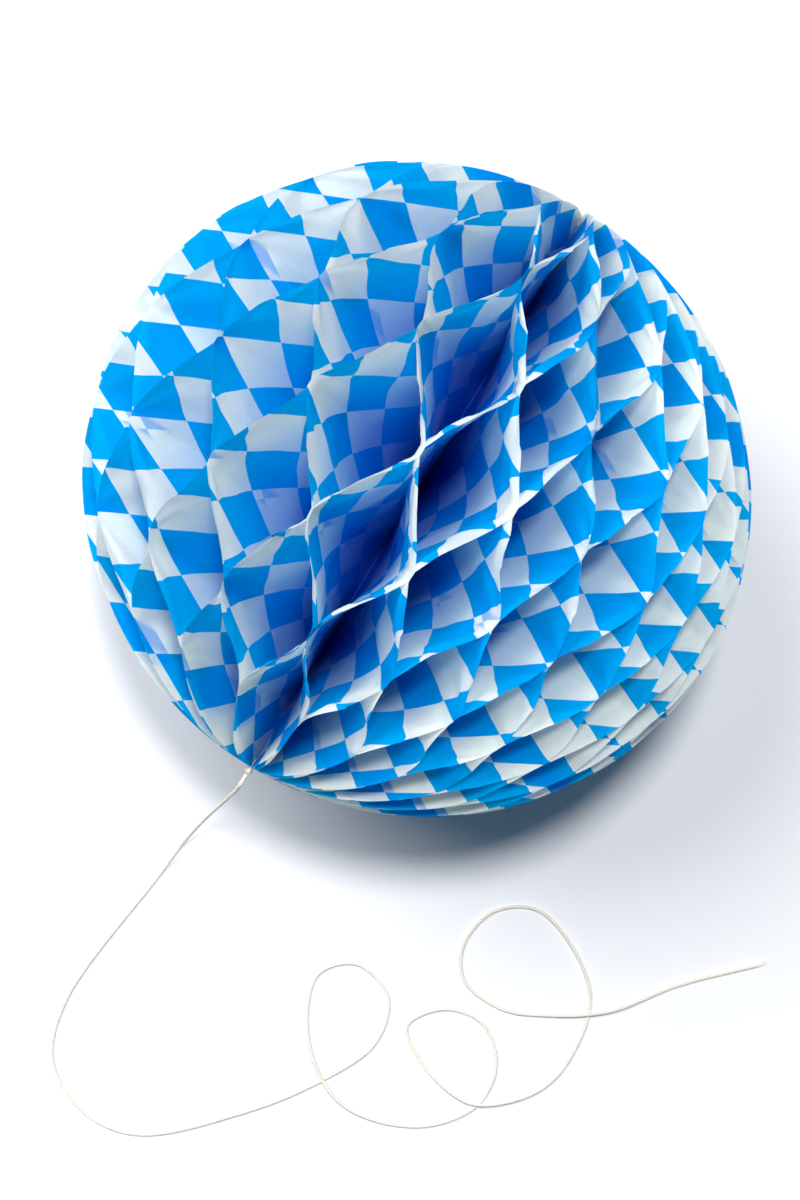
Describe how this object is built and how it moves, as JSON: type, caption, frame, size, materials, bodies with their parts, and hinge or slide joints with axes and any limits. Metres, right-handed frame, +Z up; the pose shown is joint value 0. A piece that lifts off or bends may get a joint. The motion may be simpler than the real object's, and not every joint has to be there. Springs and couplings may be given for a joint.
{
  "type": "honeycomb tissue paper ball",
  "caption": "Round honeycomb ball of blue and white lozenge-check tissue leaves glued in lozenge cells round a stitched spine, with card covers and a loose cotton hanging cord.",
  "frame": {"origin": "middle of the ball's footprint, on the surface that it lies on", "axes": "+Z up; the ball's spine lies level, 59 degrees from +X towards +Y at the end away from the cord"},
  "size_m": [0.3547, 0.4553, 0.297],
  "materials": {
    "tissue": "thin matt tissue paper, printed with a blue and white lozenge check",
    "card": "plain grey-white card, matt",
    "thread": "undyed cotton thread",
    "cotton_cord": "undyed twisted cotton cord"
  },
  "bodies": {
    "root": {"tissue_honeycomb": "tissue", "first_cover": "card", "last_cover": "card", "spine_thread": "thread", "hanging_cord": "cotton_cord"}
  },
  "joints": []
}
